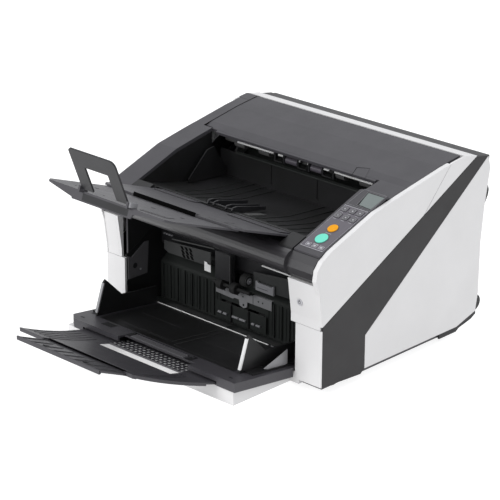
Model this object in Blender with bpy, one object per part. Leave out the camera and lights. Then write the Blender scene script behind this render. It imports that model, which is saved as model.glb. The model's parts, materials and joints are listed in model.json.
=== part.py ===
"""Sheet fed document scanner: base with hopper, hinged upper unit with stacker."""
import math

import bpy
import bmesh
from mathutils import Vector

# ---- driving dimensions, metres -------------------------------------------
HALF_W = 0.2300
SKIN_IN = 0.2268
CORE_W = 0.2262
PAPER_X = -0.005
GAP = 0.0003
DEPTH_SHIFT = -0.0450
PIVOT_Y = 0.3105
PIVOT_Z = 0.2895
TRAY_Y = 0.0240
TRAY_Z = 0.2285
TRAY_TILT = math.radians(19.8)
SHEET = 0.0030
PANEL_Y = 0.0020
PANEL_Z = 0.2225
PANEL_TILT = math.atan(0.3594)
ARC_R = 0.6060
ARC_Z = 0.6304
PATH_SLOPE = 0.70
PILLAR = 0.0040
STOPPER_S = 0.2475
STOPPER_T = 0.0025
STOPPER_LEN = 0.0720
STOPPER_LEAN = math.radians(111.2)
TOP_PROFILE = (
    (0.0000, 0.2225), (0.0236, 0.2301), (0.1132, 0.2623),
    (0.1692, 0.2737), (0.2711, 0.2926), (0.3200, 0.2990),
)


def z_part(y):
    """Height of the parting line between base and upper unit."""
    return 0.1125 + 0.5129 * (y - 0.002)


def z_path(y):
    """Height of the paper path between the two scan units."""
    return 0.085 + PATH_SLOPE * (y - 0.08)


def z_top(y):
    """Height of the body top profile."""
    for (y0, z0), (y1, z1) in zip(TOP_PROFILE, TOP_PROFILE[1:]):
        if y <= y1:
            return z0 + (z1 - z0) * (y - y0) / (y1 - y0)
    return TOP_PROFILE[-1][1]


def z_plate(y):
    """Height of the hopper plate top."""
    return 0.049 - 0.1228 * (y + 0.127)


def z_arc(y):
    """Height of the curved hopper extension top."""
    return ARC_Z - math.sqrt(ARC_R ** 2 - y ** 2)


# ---- builders -------------------------------------------------------------
def clear_scene():
    for old in list(bpy.data.objects):
        bpy.data.objects.remove(old, do_unlink=True)


def material(name, rgb, rough, metallic=0.0):
    mat = bpy.data.materials.get(name)
    if mat:
        return mat
    mat = bpy.data.materials.new(name)
    mat.use_nodes = True
    shader = mat.node_tree.nodes["Principled BSDF"]
    shader.inputs["Base Color"].default_value = (rgb[0], rgb[1], rgb[2], 1.0)
    shader.inputs["Roughness"].default_value = rough
    shader.inputs["Metallic"].default_value = metallic
    return mat


def white_plastic():
    return material("white_plastic", (0.70, 0.70, 0.71), 0.45)


def charcoal_plastic():
    return material("charcoal_plastic", (0.055, 0.053, 0.058), 0.5)


def black_plastic():
    return material("black_plastic", (0.018, 0.018, 0.020), 0.45)


def stripe_plastic():
    return material("stripe_plastic", (0.045, 0.043, 0.045), 0.5)


def rubber():
    return material("roller_rubber", (0.10, 0.10, 0.10), 0.85)


def foot_rubber():
    return material("foot_rubber", (0.02, 0.02, 0.02), 0.9)


def steel():
    return material("sheet_steel", (0.55, 0.55, 0.56), 0.35, 1.0)


def glass():
    return material("scan_glass", (0.55, 0.60, 0.60), 0.08)


def lcd_glass():
    return material("display_glass", (0.16, 0.19, 0.17), 0.2)


def gear_plastic():
    return material("gear_plastic", (0.60, 0.60, 0.56), 0.5)


def key_plastic():
    return material("key_plastic", (0.10, 0.10, 0.11), 0.5)


def orange_plastic():
    return material("orange_plastic", (0.85, 0.24, 0.05), 0.35)


def mint_plastic():
    return material("mint_plastic", (0.25, 0.72, 0.48), 0.35)


def grey_plastic():
    return material("grey_plastic", (0.45, 0.45, 0.46), 0.45)


def body(name, rings, mat):
    """Closed body from a list of equal-length rings of points."""
    mesh = bpy.data.meshes.new(name)
    bm = bmesh.new()
    levels = [[bm.verts.new(p) for p in ring] for ring in rings]
    count = len(levels[0])
    for low, high in zip(levels, levels[1:]):
        for i in range(count):
            j = (i + 1) % count
            bm.faces.new((low[i], low[j], high[j], high[i]))
    bm.faces.new(list(reversed(levels[0])))
    bm.faces.new(levels[-1])
    bmesh.ops.recalc_face_normals(bm, faces=bm.faces)
    bm.to_mesh(mesh)
    bm.free()
    obj = bpy.data.objects.new(name, mesh)
    bpy.context.collection.objects.link(obj)
    if mat:
        mesh.materials.append(mat)
    return obj


def along_x(name, outline, x0, x1, mat=None):
    """Prism of a (y, z) outline between two x positions."""
    rings = [[(x, y, z) for y, z in outline] for x in (x0, x1)]
    return body(name, rings, mat)


def along_y(name, outline, y0, y1, mat=None):
    """Prism of an (x, z) outline between two y positions."""
    rings = [[(x, y, z) for x, z in outline] for y in (y0, y1)]
    return body(name, rings, mat)


def along_z(name, outline, z0, z1, mat=None):
    """Prism of an (x, y) outline between two heights."""
    rings = [[(x, y, z) for x, y in outline] for z in (z0, z1)]
    return body(name, rings, mat)


def box(name, low, high, mat=None):
    outline = [(low[0], low[1]), (high[0], low[1]), (high[0], high[1]), (low[0], high[1])]
    return along_z(name, outline, low[2], high[2], mat)


def panel_point(x, y, w):
    """Point above the operator panel plane by w."""
    z = PANEL_Z + math.tan(PANEL_TILT) * (y - PANEL_Y)
    return (x, y - w * math.sin(PANEL_TILT), z + w * math.cos(PANEL_TILT))


def on_panel(name, outline, w0, w1, mat=None):
    rings = [[panel_point(x, y, w) for x, y in outline] for w in (w0, w1)]
    return body(name, rings, mat)


def tray_point(x, s, t):
    """Point on the tilted stacker extension plane, s forward and t upward."""
    y = TRAY_Y - s * math.cos(TRAY_TILT) + t * math.sin(TRAY_TILT)
    z = TRAY_Z + s * math.sin(TRAY_TILT) + t * math.cos(TRAY_TILT)
    return (x, y, z)


def on_tray(name, outline, t0, t1, mat=None):
    rings = [[tray_point(x, s, t) for x, s in outline] for t in (t0, t1)]
    return body(name, rings, mat)


def circle(cx, cy, radius, count=28):
    step = 2 * math.pi / count
    return [(cx + radius * math.cos(i * step), cy + radius * math.sin(i * step)) for i in range(count)]


def rect(x0, x1, y0, y1):
    return [(x0, y0), (x1, y0), (x1, y1), (x0, y1)]


def spindle(name, y, z, profile, mat, count=24):
    """Turned body on an x axis from (x, radius) pairs."""
    rings = []
    for x, radius in profile:
        ring = circle(y, z, radius, count)
        rings.append([(x, a, b) for a, b in ring])
    return body(name, rings, mat)


def stepped(x0, x1, core, spans, radius):
    """Profile of a shaft with larger rollers over the given spans."""
    profile = [(x0, core)]
    for a, b in spans:
        profile += [(a, core), (a, radius), (b, radius), (b, core)]
    profile.append((x1, core))
    return profile


def smooth_round(obj, angle=35):
    for face in obj.data.polygons:
        face.use_smooth = True
    obj.data.set_sharp_from_angle(angle=math.radians(angle))


def hide(tool, owner):
    tool.name = owner.name + "_tool"
    tool.hide_render = True
    tool.display_type = "WIRE"
    tool.parent = ROOTS["tools"]


def combine(owner, tools, operation):
    for tool in tools:
        mod = owner.modifiers.new(operation.lower(), "BOOLEAN")
        mod.operation = operation
        mod.solver = "EXACT"
        mod.object = tool
        hide(tool, owner)


def add(owner, *tools):
    combine(owner, tools, "UNION")


def cut(owner, *tools):
    combine(owner, tools, "DIFFERENCE")


def soften(obj, width, segments=2):
    mod = obj.modifiers.new("edge", "BEVEL")
    mod.width = width
    mod.segments = segments
    mod.limit_method = "ANGLE"
    mod.angle_limit = math.radians(35)


def set_origin(obj, point):
    """Put the object origin on its joint without moving the body."""
    shift = Vector(point)
    for vert in obj.data.vertices:
        vert.co -= shift
    obj.location = shift


ROOTS = {}


def make_roots():
    for name, pos in (("scanner", (0, 0, 0)), ("tools", (0, 0, 0)), ("upper_unit", (0, PIVOT_Y, PIVOT_Z))):
        empty = bpy.data.objects.new(name, None)
        bpy.context.collection.objects.link(empty)
        empty.location = pos
        ROOTS[name] = empty
    ROOTS["tools"].parent = ROOTS["scanner"]
    ROOTS["upper_unit"].parent = ROOTS["scanner"]


def to_base(*parts):
    for obj in parts:
        obj.parent = ROOTS["scanner"]


def to_upper(*parts):
    for obj in parts:
        obj.parent = ROOTS["upper_unit"]
        obj.location -= Vector((0, PIVOT_Y, PIVOT_Z))


# ---- base -----------------------------------------------------------------
def base_pan():
    to_base(box("base_pan", (-0.222, 0.0105, 0.0085), (0.222, 0.3150, 0.0160), charcoal_plastic()))


def feet():
    for side, sx in (("left", -1), ("right", 1)):
        for end, y in (("front", 0.050), ("rear", 0.298)):
            outline = circle(sx * 0.196, y, 0.0150)
            foot = along_z("foot_%s_%s" % (end, side), outline, 0.0, 0.0082, foot_rubber())
            smooth_round(foot)
            to_base(foot)


def front_frame():
    left = [(-0.1882, 0.0), (-0.2285, 0.0), (-0.2298, 0.0013), (-0.2298, 0.0017), (-0.2262, 0.0017),
            (-0.2262, PILLAR), (-0.1882, PILLAR)]
    right = [(0.178, 0.0), (0.2285, 0.0), (0.2298, 0.0013), (0.2298, 0.0017), (0.2262, 0.0017),
             (0.2262, PILLAR), (0.178, PILLAR)]
    frame = along_z("front_frame", left, 0.0165, 0.107, white_plastic())
    arm = [(-0.1215, 0.0092), (-0.1215, 0.0310), (-0.0200, 0.0310), (0.0095, 0.0275), (0.0095, 0.0092)]
    add(frame, along_x("a", arm, -0.1890, -0.1745))
    add(frame, box("b", (-0.1750, -0.1215, 0.0090), (0.1660, 0.0100, 0.012)))
    add(frame, along_x("c", arm, 0.1655, 0.1680))
    add(frame, box("d", (0.1670, 0.0004, 0.0094), (0.1850, 0.0090, 0.0270)))
    add(frame, along_z("e", right, 0.0165, 0.107))
    add(frame, along_y("f", [(-0.1770, 0.0091), (0.1670, 0.0091), (0.1670, 0.0308), (0.0900, 0.0308),
                             (0.0900, 0.0265), (-0.0990, 0.0265), (-0.0990, 0.0308), (-0.1770, 0.0308)],
                       -0.1213, -0.1185))
    to_base(frame)


LOWER_SIDE = (
    (0.0978, 0.0175), (0.0978, 0.0715), (0.3795, 0.2852), (0.3860, 0.2660), (0.3750, 0.2040),
    (0.3690, 0.1460), (0.3680, 0.0610), (0.3630, 0.0310), (0.3170, 0.0175),
)
STRIPE_SIDE = (
    (0.0022, 0.0165), (0.0022, 0.1124), (0.3510, 0.2912), (0.3795, 0.2860), (0.0970, 0.0720),
    (0.0970, 0.0170), (0.0885, 0.0110),
)
SHELL_SIDE = ((0.2896, 0.2952), (0.3200, 0.2985), (0.3515, 0.2925), (0.2290, 0.2297))


def base_skins():
    for side, sx in (("left", -1), ("right", 1)):
        spans = (sx * SKIN_IN, sx * HALF_W)
        cover = along_x("lower_cover_" + side, LOWER_SIDE, spans[0], spans[1], white_plastic())
        stripe = along_x("stripe_" + side, STRIPE_SIDE, spans[0], spans[1], stripe_plastic())
        to_base(cover, stripe)


def rear_shell():
    wedge = [(0.3255, 0.2973), (0.3513, 0.2925), (0.3255, 0.2795)]
    shell = along_x("rear_shell", SHELL_SIDE, -HALF_W, -SKIN_IN, white_plastic())
    add(shell, along_x("a", wedge, -HALF_W + 0.0001, HALF_W - 0.0001))
    add(shell, along_x("b", SHELL_SIDE, SKIN_IN, HALF_W))
    to_base(shell)


def rear_band():
    outline = [(0.3525, 0.2912), (0.3795, 0.2860), (0.3870, 0.2844), (0.3865, 0.2620),
               (0.3835, 0.2620), (0.3835, 0.2815), (0.3525, 0.2876)]
    to_base(along_x("rear_band", outline, -CORE_W, CORE_W, stripe_plastic()))


def rear_cover():
    outline = [(0.3855, 0.2610), (0.3750, 0.2040), (0.3690, 0.1460), (0.3680, 0.0610),
               (0.3630, 0.0310), (0.3170, 0.0172), (0.3180, 0.0205), (0.3605, 0.0335),
               (0.3650, 0.0620), (0.3660, 0.1465), (0.3720, 0.2045), (0.3825, 0.2610)]
    cover = along_x("rear_cover", outline, -CORE_W, CORE_W, white_plastic())
    cut(cover, box("a", (-0.1653, 0.350, 0.0747), (-0.1347, 0.380, 0.1003)))
    for i in range(9):
        x = 0.020 + 0.014 * i
        cut(cover, box("v", (x, 0.350, 0.085), (x + 0.006, 0.380, 0.130)))
    to_base(cover)


def mains_inlet():
    inlet = box("mains_inlet", (-0.1650, 0.3540, 0.0750), (-0.1350, 0.3685, 0.1000), black_plastic())
    cut(inlet, box("a", (-0.1620, 0.3560, 0.0780), (-0.1380, 0.3700, 0.0970)))
    for dx in (-0.006, 0.0, 0.006):
        z = 0.0875 + (0.003 if dx == 0 else -0.002)
        add(inlet, box("p", (-0.1510 + dx, 0.3550, z - 0.002), (-0.1490 + dx, 0.3660, z + 0.002)))
    to_base(inlet)


def rear_grip():
    grip = box("rear_grip", (0.1950, 0.3812, 0.2030), (0.2220, 0.3970, 0.2330), black_plastic())
    soften(grip, 0.004)
    to_base(grip)


def inner_walls():
    outline = [(0.0045, 0.0285), (0.0045, z_part(0.0045) - 0.003), (0.3400, z_part(0.3400) - 0.003),
               (0.3580, 0.2600), (0.3580, 0.0400), (0.3000, 0.0163), (0.0110, 0.0163), (0.0110, 0.0285)]
    for side, x0, x1 in (("left", -0.1920, -0.1890), ("right", 0.1783, 0.1813)):
        to_base(along_x("inner_wall_" + side, outline, x0, x1, black_plastic()))


def path_strip(y0, y1, high, low):
    return [(y0, z_path(y0) + high), (y1, z_path(y1) + high), (y1, z_path(y1) + low), (y0, z_path(y0) + low)]


def feed_guide():
    outline = [(0.0465, 0.0272), (0.0770, 0.0205), (0.0770, 0.0820), (0.0800, z_path(0.0800)),
               (0.3000, z_path(0.3000)), (0.3000, z_path(0.3000) - 0.0035), (0.0805, 0.0810),
               (0.0805, 0.0170), (0.0465, 0.0242)]
    guide = along_x("feed_guide", outline, -0.1855, 0.1540, charcoal_plastic())
    for i in range(21):
        x = -0.1800 + 0.0162 * i
        if -0.062 < x < 0.050:
            continue
        add(guide, box("r", (x, 0.0745, 0.0240), (x + 0.0020, 0.0785, 0.0800)))
    cut(guide, box("w", (-0.0500, 0.0600, 0.0250), (0.0430, 0.0860, 0.0560)))
    cut(guide, along_x("w", path_strip(0.1115, 0.1290, 0.006, -0.012), -0.1050, 0.1150))
    cut(guide, along_x("w", path_strip(0.1677, 0.1983, 0.006, -0.012), -0.1603, 0.1503))
    to_base(guide)


def scan_units():
    lower = along_x("lower_scan_unit", path_strip(0.1500, 0.2150, -0.0065, -0.0400), -0.165, 0.152,
                    black_plastic())
    pane = along_x("lower_glass", path_strip(0.1682, 0.1978, -0.0004, -0.0029), -0.1600, 0.1500, glass())
    to_base(lower, pane)
    block = [(0.0780, 0.1150), (0.0920, 0.0998), (0.2120, 0.1838), (0.2120, 0.1925), (0.0780, 0.1788)]
    upper = along_x("upper_scan_unit", block, -0.1850, 0.1540, black_plastic())
    glass_pane = along_x("upper_glass", path_strip(0.1682, 0.1978, 0.0055, 0.0030), -0.1600, 0.1500, glass())
    to_upper(upper, glass_pane)


def hinge_arms():
    outline = [(0.2124, 0.1845), (0.2680, 0.2230), (0.3149, 0.2875), (0.3145, 0.2915), (0.3105, 0.2937),
               (0.3065, 0.2925), (0.2500, 0.2330), (0.2124, 0.1890)]
    for side, x0 in (("left", -0.1845), ("right", 0.1495)):
        arm = along_x("hinge_arm_" + side, outline, x0, x0 + 0.0040, steel())
        cut(arm, along_x("h", circle(PIVOT_Y, PIVOT_Z, 0.0025, 16), -0.2, 0.2))
        to_upper(arm)


def hinge_rod():
    rod = spindle("hinge_rod", PIVOT_Y, PIVOT_Z, [(-CORE_W, 0.002), (CORE_W, 0.002)], steel(), 16)
    smooth_round(rod)
    to_base(rod)


def gear_outline(cy, cz, teeth, pitch_r, phase):
    points = []
    module = 2.0 * pitch_r / teeth
    for i in range(teeth):
        for frac, radius in ((-0.30, -1.15), (-0.11, 0.85), (0.11, 0.85), (0.30, -1.15)):
            angle = 2 * math.pi * (i + frac) / teeth + phase
            r = pitch_r + radius * module
            points.append((cy + r * math.cos(angle), cz + r * math.sin(angle)))
    return points


FEED_Y = 0.1249
FEED_Z = 0.1060
MOTOR_Y = 0.1369
MOTOR_Z = 0.0678


def drive():
    motor = spindle("drive_motor", MOTOR_Y, MOTOR_Z, [(0.098, 0.020), (0.100, 0.022), (0.148, 0.022),
                                                      (0.150, 0.020), (0.150, 0.003), (0.1576, 0.003)],
                    steel())
    smooth_round(motor)
    to_base(motor)
    angle = math.atan2(MOTOR_Z - FEED_Z, MOTOR_Y - FEED_Y)
    pinion = along_x("motor_pinion", gear_outline(MOTOR_Y, MOTOR_Z, 10, 0.010, angle + math.pi), 0.1580, 0.1660,
                     gear_plastic())
    set_origin(pinion, (0.162, MOTOR_Y, MOTOR_Z))
    spans = [(-0.100, -0.080), (-0.030, -0.010), (0.020, 0.040), (0.092, 0.112)]
    roller = spindle("feed_roller", FEED_Y, FEED_Z, stepped(-0.1800, 0.1600, 0.003, spans, 0.009), rubber())
    smooth_round(roller)
    wheel = along_x("g", gear_outline(FEED_Y, FEED_Z, 30, 0.030, angle + math.pi / 30), 0.1582, 0.1658)
    add(roller, wheel)
    set_origin(roller, (0.0, FEED_Y, FEED_Z))
    to_base(pinion, roller)


BRAKE_Y = 0.0862
BRAKE_Z = 0.0400


def brake_roller():
    spans = [(-0.0450, -0.0330), (-0.0130, 0.0040), (0.0270, 0.0380)]
    roller = spindle("brake_roller", BRAKE_Y, BRAKE_Z, stepped(-0.0600, 0.0550, 0.003, spans, 0.0120), rubber())
    smooth_round(roller)
    set_origin(roller, (0.0, BRAKE_Y, BRAKE_Z))
    to_base(roller)


# ---- hopper ---------------------------------------------------------------
def hopper_plate():
    outline = [(-0.1270, 0.0340), (-0.1270, 0.0490), (0.0450, z_plate(0.0450)), (0.0450, 0.0249),
               (-0.1235, 0.0455), (-0.1235, 0.0340)]
    plate = along_x("hopper_plate", outline, -0.1850, 0.1760, charcoal_plastic())
    skirt = [(-0.1270, 0.0340), (-0.1268, 0.0489), (-0.0020, z_plate(-0.0020) - 0.0001)]
    add(plate, along_x("s", skirt + [(-0.0200, 0.0320), (-0.1070, 0.0320)], -0.1849, -0.1815))
    add(plate, along_x("s", skirt + [(-0.0020, 0.0186)], 0.1720, 0.1759))
    cut(plate, box("a", (-0.1490, -0.1300, 0.0300), (0.1390, -0.1200, 0.0408)))
    cut(plate, box("n", (-0.0700, -0.1300, 0.0300), (0.0800, -0.1130, 0.0600)))
    cut(plate, along_z("b", [(-0.1900, -0.1100), (-0.1650, -0.1300), (-0.1900, -0.1400)], 0.02, 0.06))
    set_origin(plate, (PAPER_X, -0.041, 0.030))
    to_base(plate)


def hopper_guides():
    outline = [(-0.0900, z_plate(-0.0900) + 0.0004), (-0.0740, 0.0960), (-0.0700, 0.1000),
               (-0.0350, 0.0650), (0.0400, 0.0570), (0.0400, z_plate(0.0400) + 0.0004)]
    foot = [(-0.0800, z_plate(-0.0800) + 0.0004), (-0.0800, z_plate(-0.0800) + 0.0030),
            (0.0400, z_plate(0.0400) + 0.0030), (0.0400, z_plate(0.0400) + 0.0004)]
    for side, sx in (("left", -1), ("right", 1)):
        inner = PAPER_X + sx * 0.152
        guide = along_x("hopper_guide_" + side, outline, inner, inner + sx * 0.0035, charcoal_plastic())
        add(guide, along_x("f", foot, inner + sx * 0.0005, inner + sx * 0.0200))
        set_origin(guide, (inner, -0.020, z_plate(-0.020)))
        to_base(guide)


def arc_strip(y0, y1, radius, thick, count=12):
    """Curved sheet outline around the hopper arc centre."""
    a0 = math.asin(y0 / radius)
    a1 = math.asin(y1 / radius)
    angles = [a0 + (a1 - a0) * i / count for i in range(count + 1)]
    upper = [(radius * math.sin(a), ARC_Z - radius * math.cos(a)) for a in angles]
    outer = radius + thick
    lower = [(outer * math.sin(a), ARC_Z - outer * math.cos(a)) for a in reversed(angles)]
    return upper + lower


def hopper_extensions():
    first = along_x("hopper_ext_1", arc_strip(-0.0950, -0.2570, ARC_R, SHEET), -0.1450, 0.1350,
                    charcoal_plastic())
    cut(first, box("a", (-0.0780, -0.1650, 0.0), (0.0815, -0.1400, 0.1)))
    cut(first, box("b", (-0.0900, -0.2700, 0.0), (0.0800, -0.2460, 0.15)))
    lip = [(y, z_arc(y) - drop) for y, drop in ((-0.2566, 0.0005), (-0.2566, 0.0065), (-0.2490, 0.0065),
                                                (-0.2490, 0.0005))]
    add(first, along_x("e", lip, -0.1449, -0.0945), along_x("e", lip, 0.0855, 0.1080))
    rings = []
    for y in (-0.2560, -0.2170):
        x = 0.0980 + 0.28516 * (y + 0.2580)
        rings.append([(x + dx, y, z_arc(y) - drop) for dx, drop in ((-0.004, 0.0008), (0.001, 0.0008),
                                                                    (0.001, 0.0064), (-0.004, 0.0064))])
    add(first, body("g", rings, None))
    cut(first, along_z("c", [(0.0980, -0.2580), (0.0980, -0.2700), (0.1500, -0.2700), (0.1500, -0.1300),
                             (0.1345, -0.1300)], 0.0, 0.15))
    set_origin(first, (PAPER_X, 0.0, ARC_Z))
    outline = arc_strip(-0.2150, -0.2620, ARC_R + SHEET + GAP, SHEET, 5)
    half = len(outline) // 2
    outline = outline[:half] + [(-0.3070, 0.0990), (-0.3070, 0.0930), (-0.3045, 0.0930),
                                (-0.3030, 0.0945)] + outline[half:]
    second = along_x("hopper_ext_2", outline, -0.0930, 0.0840, charcoal_plastic())
    set_origin(second, (PAPER_X, 0.0, ARC_Z))
    to_base(first, second)


# ---- upper unit -----------------------------------------------------------
def top_line(y0, y1, drop=0.0):
    ys = [y0] + [y for y, _ in TOP_PROFILE if y0 < y < y1] + [y1]
    return [(y, z_top(y) - drop) for y in ys]


WALL_FOOT = [(0.1940, 0.1870), (0.1450, 0.1870), (0.0050, 0.1152), (0.0050, 0.1775), (0.0298, 0.1775)]


def cheek_wall():
    """Side wall of the stacker cavity, its top edge inside the frame plate."""
    return top_line(0.0296, 0.1930, 0.0025) + WALL_FOOT


def top_cover():
    upper = [(0.1955, 0.2764), (0.2115, 0.2815), (0.2711, 0.2926), (0.3190, 0.2988)]
    lower = [(0.3190, 0.2957), (0.2711, 0.2888), (0.2115, 0.2770), (0.1955, 0.2725)]
    cover = along_x("top_cover", upper + lower, -0.2035, 0.2215, charcoal_plastic())
    lip = [(0.1910, 0.2748), (0.2000, 0.2777), (0.2000, 0.2736), (0.1915, 0.2705)]
    add(cover, along_x("a", lip, -0.1745, 0.1620))
    pocket = [(0.1105, 0.2080), (0.1320, 0.2150), (0.1420, 0.1925), (0.1420, 0.1880), (0.1170, 0.1880)]
    cut(cover, along_z("b", pocket, 0.26, 0.30))
    to_upper(cover)


def open_lever():
    outline = [(0.1114, 0.2076), (0.1318, 0.2142), (0.1414, 0.1924), (0.1414, 0.1913), (0.1166, 0.1913)]
    rings = []
    for drop in (0.0040, 0.0):
        rings.append([(x, y, 0.2761 - drop + 0.30 * (y - 0.1955)) for x, y in outline])
    lever = body("open_lever", rings, charcoal_plastic())
    set_origin(lever, (0.125, 0.2110, 0.2732))
    to_upper(lever)


def left_frame():
    wide = top_line(0.0, 0.1945) + list(reversed(top_line(0.0, 0.1945, 0.0050)))
    frame = along_x("left_frame", wide, -CORE_W, -0.1853, charcoal_plastic())
    narrow = top_line(0.1850, 0.3000, 0.0002) + list(reversed(top_line(0.1850, 0.3000, 0.0048)))
    add(frame, along_x("a", narrow, -CORE_W + 0.0002, -0.2042))
    nose = [(0.0290, 0.1805), (-0.0060, 0.1805), (-0.0115, 0.1890), (-0.0095, 0.2046), (-0.0020, 0.2164),
            (0.0015, 0.2205), (0.0290, 0.2295)]
    add(frame, along_x("b", nose, -CORE_W + 0.0003, -0.1856))
    add(frame, along_x("c", cheek_wall(), -0.1885, -0.1856))
    to_upper(frame)


def upper_outline(drop, seam_y):
    """Side outline of the upper unit: nose, top line, hinge seam and parting line."""
    nose = [(0.0000, 0.1138), (0.0000, 0.1210), (-0.0060, 0.1650), (-0.0105, 0.1780), (-0.0139, 0.1887),
            (-0.0114, 0.2046),
            (-0.0016, 0.2164 - drop), (0.0150, 0.2262 - drop)]
    return nose + top_line(0.0236, seam_y, drop + 0.0004) + [(0.2268, z_part(0.2268) + 0.0008),
                                                             (0.0022, 0.1138)]


def upper_covers():
    right = along_x("upper_cover_right", upper_outline(0.0, 0.2878), 0.2220, HALF_W, white_plastic())
    post = [(0.0045, 0.1075), (0.0002, 0.1075), (0.0002, 0.1210), (-0.0058, 0.1650), (-0.0078, 0.1785),
            (0.0045, 0.1785)]
    add(right, along_x("a", post, 0.1683, CORE_W))
    cut(right, along_y("h", circle(0.1887, 0.1436, 0.0053), -0.01, 0.0065))
    left = along_x("upper_cover_left", upper_outline(0.0020, 0.2860), -HALF_W, -SKIN_IN, white_plastic())
    add(left, along_x("a", post, -CORE_W, -0.2010))
    add(left, box("b", (-SKIN_IN - 0.0010, 0.0006, 0.1350), (-CORE_W + 0.0020, 0.0044, 0.1700)))
    to_upper(right, left)


def power_button():
    button = along_y("power_button", circle(0.1887, 0.1436, 0.0050), -0.0042, 0.0040, grey_plastic())
    smooth_round(button)
    set_origin(button, (0.1887, 0.0, 0.1436))
    to_upper(button)


KEY_X = (0.1815, 0.1965, 0.2110)
KEY_Y = (0.1018, 0.0862)
STOP_XY = (0.1955, 0.0594)
SCAN_XY = (0.1956, 0.0348)


def operator_panel():
    upper = [(0.0015, 0.2223), (0.1500, 0.2757), (0.1560, 0.2712), (0.1692, 0.2737), (0.1945, 0.2783)]
    lower = [(0.1945, 0.2753), (0.1692, 0.2707), (0.1560, 0.2682), (0.1490, 0.2723), (0.0015, 0.2193)]
    panel = along_x("operator_panel", upper + lower, 0.1715, 0.2215, charcoal_plastic())
    wall = [(0.0300, 0.2321), (0.1490, 0.2748), (0.1550, 0.2707), (0.1692, 0.2732), (0.1943, 0.2777)]
    add(panel, along_x("a", wall + WALL_FOOT, 0.1693, 0.1722))
    pocket = [(0.1860, 0.1485), (0.2208, 0.1485), (0.2190, 0.1140), (0.1900, 0.1160)]
    cut(panel, on_panel("p", pocket, -0.0018, 0.004))
    for x in KEY_X:
        for y in KEY_Y:
            cut(panel, on_panel("k", rect(x - 0.0056, x + 0.0056, y - 0.0054, y + 0.0054), -0.006, 0.004))
    cut(panel, on_panel("s", circle(STOP_XY[0], STOP_XY[1], 0.0084), -0.006, 0.004))
    cut(panel, on_panel("g", circle(SCAN_XY[0], SCAN_XY[1], 0.0103), -0.006, 0.004))
    to_upper(panel)


def lcd():
    outline = [(0.1870, 0.1467), (0.2200, 0.1467), (0.2184, 0.1174), (0.1934, 0.1190)]
    to_upper(on_panel("lcd", outline, -0.0014, -0.0004, lcd_glass()))


def keys():
    index = 0
    for y in KEY_Y:
        for x in KEY_X:
            index += 1
            outline = rect(x - 0.0052, x + 0.0052, y - 0.0050, y + 0.0050)
            key = on_panel("key_%d" % index, outline, -0.0045, 0.0013, key_plastic())
            set_origin(key, panel_point(x, y, 0.0))
            to_upper(key)
    for name, centre, radius, mat in (("stop_button", STOP_XY, 0.0080, orange_plastic()),
                                      ("scan_button", SCAN_XY, 0.0099, mint_plastic())):
        button = on_panel(name, circle(centre[0], centre[1], radius), -0.0045, 0.0015, mat)
        smooth_round(button)
        set_origin(button, panel_point(centre[0], centre[1], 0.0))
        to_upper(button)


def stacker_tray():
    outline = [(0.0390, 0.2260), (0.0420, 0.2258), (0.0500, 0.2235), (0.0550, 0.2205), (0.0800, 0.2135),
               (0.1300, 0.2030), (0.2130, 0.1965), (0.2130, 0.2400), (0.2155, 0.2400), (0.2155, 0.1940),
               (0.1300, 0.2008), (0.0800, 0.2112), (0.0550, 0.2182), (0.0480, 0.2214), (0.0420, 0.2236),
               (0.0390, 0.2238)]
    tray = along_x("stacker_tray", outline, -0.1850, 0.1690, black_plastic())
    flank = [(-0.0010, 0.2207), (0.0020, 0.2225), (0.0300, 0.2325), (0.0335, 0.2262), (0.0450, 0.2248),
             (0.0440, 0.2232), (0.0300, 0.2235), (0.0020, 0.2208)]
    add(tray, along_x("a", flank, -0.1849, -0.1515), along_x("a", flank, 0.1415, 0.1689))
    for x in (-0.0700, 0.0280):
        cut(tray, box("g", (x - 0.003, 0.2100, 0.2050), (x + 0.003, 0.2142, 0.2500)))
    to_upper(tray)


def roll_outline(centre_y, centre_z, radius, top_y):
    points = []
    for i in range(13):
        angle = math.radians(270 - 180 * i / 12)
        points.append((centre_y + radius * math.cos(angle), centre_z + radius * math.sin(angle)))
    return points + [(top_y, centre_z + radius), (0.0285, centre_z + radius - 0.0035), (0.0285, centre_z - radius)]


def front_roll():
    roll = along_x("front_roll", roll_outline(0.0, 0.2013, 0.0190, 0.0100), -0.1850, 0.1700, charcoal_plastic())
    cheek = [(0.0288, 0.1806), (-0.0040, 0.1806), (-0.0110, 0.1880), (-0.0135, 0.1990), (-0.0095, 0.2100),
             (0.0005, 0.2190), (0.0288, 0.2210)]
    add(roll, along_x("a", cheek, 0.1650, 0.2214))
    to_upper(roll)


def pick_parts():
    bracket = box("pick_bracket", (-0.0620, 0.0735, 0.0670), (0.0580, 0.0748, 0.0860), steel())
    hanger = [(0.0735, 0.0800), (0.0748, 0.0800), (0.0748, 0.1388), (0.0777, 0.1388), (0.0777, 0.1401),
              (0.0735, 0.1401)]
    add(bracket, along_x("a", hanger, -0.0580, -0.0180))
    for i in range(6):
        x = -0.0520 + 0.0190 * i
        cut(bracket, along_y("h", circle(x, 0.0765, 0.0040, 12), 0.07, 0.076))
    spans = [(-0.0400, -0.0300), (-0.0110, -0.0010)]
    roller = spindle("pick_roller", 0.0622, 0.0895, stepped(-0.0520, 0.0260, 0.003, spans, 0.0090), rubber())
    smooth_round(roller)
    set_origin(roller, (0.0, 0.0622, 0.0895))
    to_upper(bracket, roller)


def exit_roller():
    spans = [(-0.1570 + 0.0532 * i, -0.1350 + 0.0532 * i) for i in range(6)]
    roller = spindle("exit_roller", 0.2240, 0.2540, stepped(-0.1820, 0.1660, 0.003, spans, 0.0080), rubber())
    smooth_round(roller)
    set_origin(roller, (0.0, 0.2240, 0.2540))
    to_upper(roller)


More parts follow.
